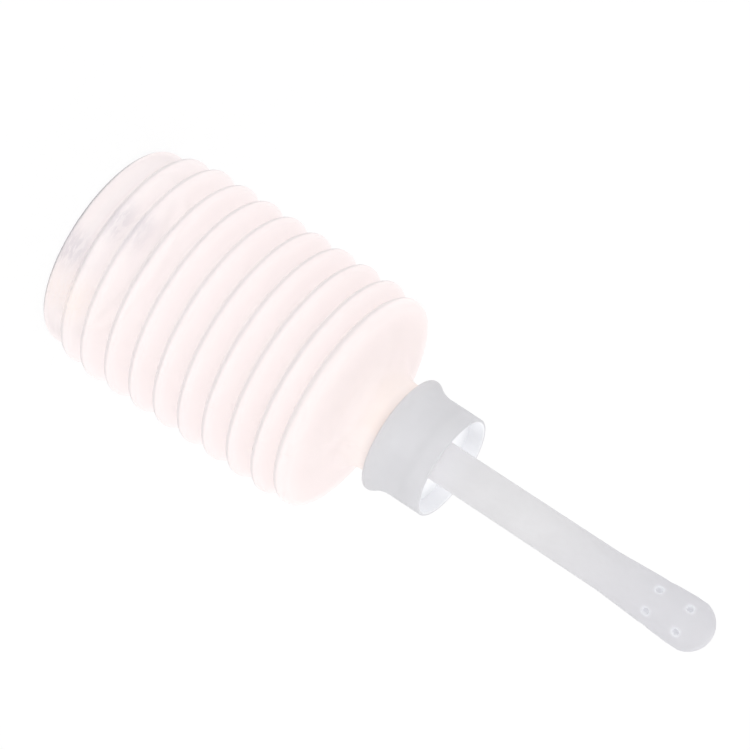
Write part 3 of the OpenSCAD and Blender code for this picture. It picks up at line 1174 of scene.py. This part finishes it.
def build_light(stage):
    """Even light from all round, and soft boxes that give the folds their form."""
    world = bpy.data.worlds.new("studio")
    bpy.context.scene.world = world
    tree, output = blank_tree(world, "ShaderNodeOutputWorld")
    seen = backdrop_rays(tree)
    strength = calc(tree, "MULTIPLY_ADD", seen, 1.0 - stage.daylight, stage.daylight)
    sky = node(tree, "ShaderNodeBackground", {"Color": (1, 1, 1, 1), "Strength": strength})
    tree.links.new(sky.outputs[0], output.inputs["Surface"])
    # Each soft box: its name, its place and size in metres, and its watts
    boxes = [
        ("key", (0.9, 0.9, 0.8), 0.8, 3.7),
        ("fill", (0.9, -0.9, 0.5), 0.9, 2.1),
        ("back", (-0.9, 0.2, 0.9), 0.8, 3.0),
    ]
    for name, spot, size, power in boxes:
        lamp = bpy.data.lights.new(name, "AREA")
        lamp.shape = "SQUARE"
        lamp.size = size
        lamp.energy = power
        made = add_object(name, lamp)
        made.location = spot
        aim = Vector((0, 0, 90 * MM)) - Vector(spot)
        made.rotation_mode = "QUATERNION"
        made.rotation_quaternion = aim.to_track_quat("-Z", "Y")


def build_camera(stage):
    """The camera at the photograph's angle: the bottle's axis runs down to the right."""
    tilt, roll = stage.tilt, stage.roll
    back = Vector((math.cos(tilt), 0, math.sin(tilt)))
    along = Vector((-math.sin(tilt), 0, math.cos(tilt)))
    up = Vector((0, -1, 0))
    right = along * math.cos(roll) + up * math.sin(roll)
    above = up * math.cos(roll) - along * math.sin(roll)
    # The point on the axis that the picture is placed by, and how far it lies from the picture's middle
    aim = Vector((0, 0, 100 * MM))
    aside, below = 2.606 * MM, 13.686 * MM
    place = aim - right * aside + above * below + back * stage.distance
    camera = add_object("camera", bpy.data.cameras.new("camera"))
    camera.data.lens = stage.focus
    camera.data.sensor_width = 36.0
    camera.data.clip_end = 20.0
    frame_axes = Matrix((right, above, back)).transposed().to_4x4()
    camera.matrix_world = Matrix.Translation(place) @ frame_axes
    scene = bpy.context.scene
    scene.camera = camera
    scene.view_settings.view_transform = "Standard"
    scene.cycles.max_bounces = 20
    scene.cycles.diffuse_bounces = 12
    scene.cycles.transmission_bounces = 12
    scene.cycles.transparent_max_bounces = 24


class BOTTLE_PT_panel(bpy.types.Panel):
    """The bottle's pieces and settings"""

    bl_label = "Accordion bottle"
    bl_idname = "BOTTLE_PT_panel"
    bl_space_type = "VIEW_3D"
    bl_region_type = "UI"
    bl_category = "Bottle"

    def draw(self, context):
        layout = self.layout
        for operator in OPERATORS:
            layout.operator(operator.bl_idname)
        for group in ("bottle_wall", "bottle_closure", "bottle_stage"):
            settings = getattr(context.scene, group)
            box = layout.box()
            for key in settings.bl_rna.properties.keys():
                if key not in ("rna_type", "name"):
                    box.prop(settings, key)


OPERATORS = (
    BOTTLE_OT_base,
    BOTTLE_OT_bellows,
    BOTTLE_OT_shoulder,
    BOTTLE_OT_washer,
    BOTTLE_OT_nozzle,
    BOTTLE_OT_collar,
    BOTTLE_OT_stage,
)
CLASSES = (BottleWallSettings, ClosureSettings, StageSettings, *OPERATORS, BOTTLE_PT_panel)


def register():
    """Registers the classes and the settings."""
    for item in CLASSES:
        bpy.utils.register_class(item)
    bpy.types.Scene.bottle_wall = PointerProperty(type=BottleWallSettings)
    bpy.types.Scene.bottle_closure = PointerProperty(type=ClosureSettings)
    bpy.types.Scene.bottle_stage = PointerProperty(type=StageSettings)


def unregister():
    """Removes what register() added."""
    del bpy.types.Scene.bottle_stage
    del bpy.types.Scene.bottle_closure
    del bpy.types.Scene.bottle_wall
    for item in reversed(CLASSES):
        bpy.utils.unregister_class(item)


def main():
    """Builds every piece in order."""
    register()
    for name in ("base", "bellows", "shoulder", "washer", "nozzle", "collar", "stage"):
        getattr(bpy.ops.bottle, name)()


if __name__ == "__main__":
    main()
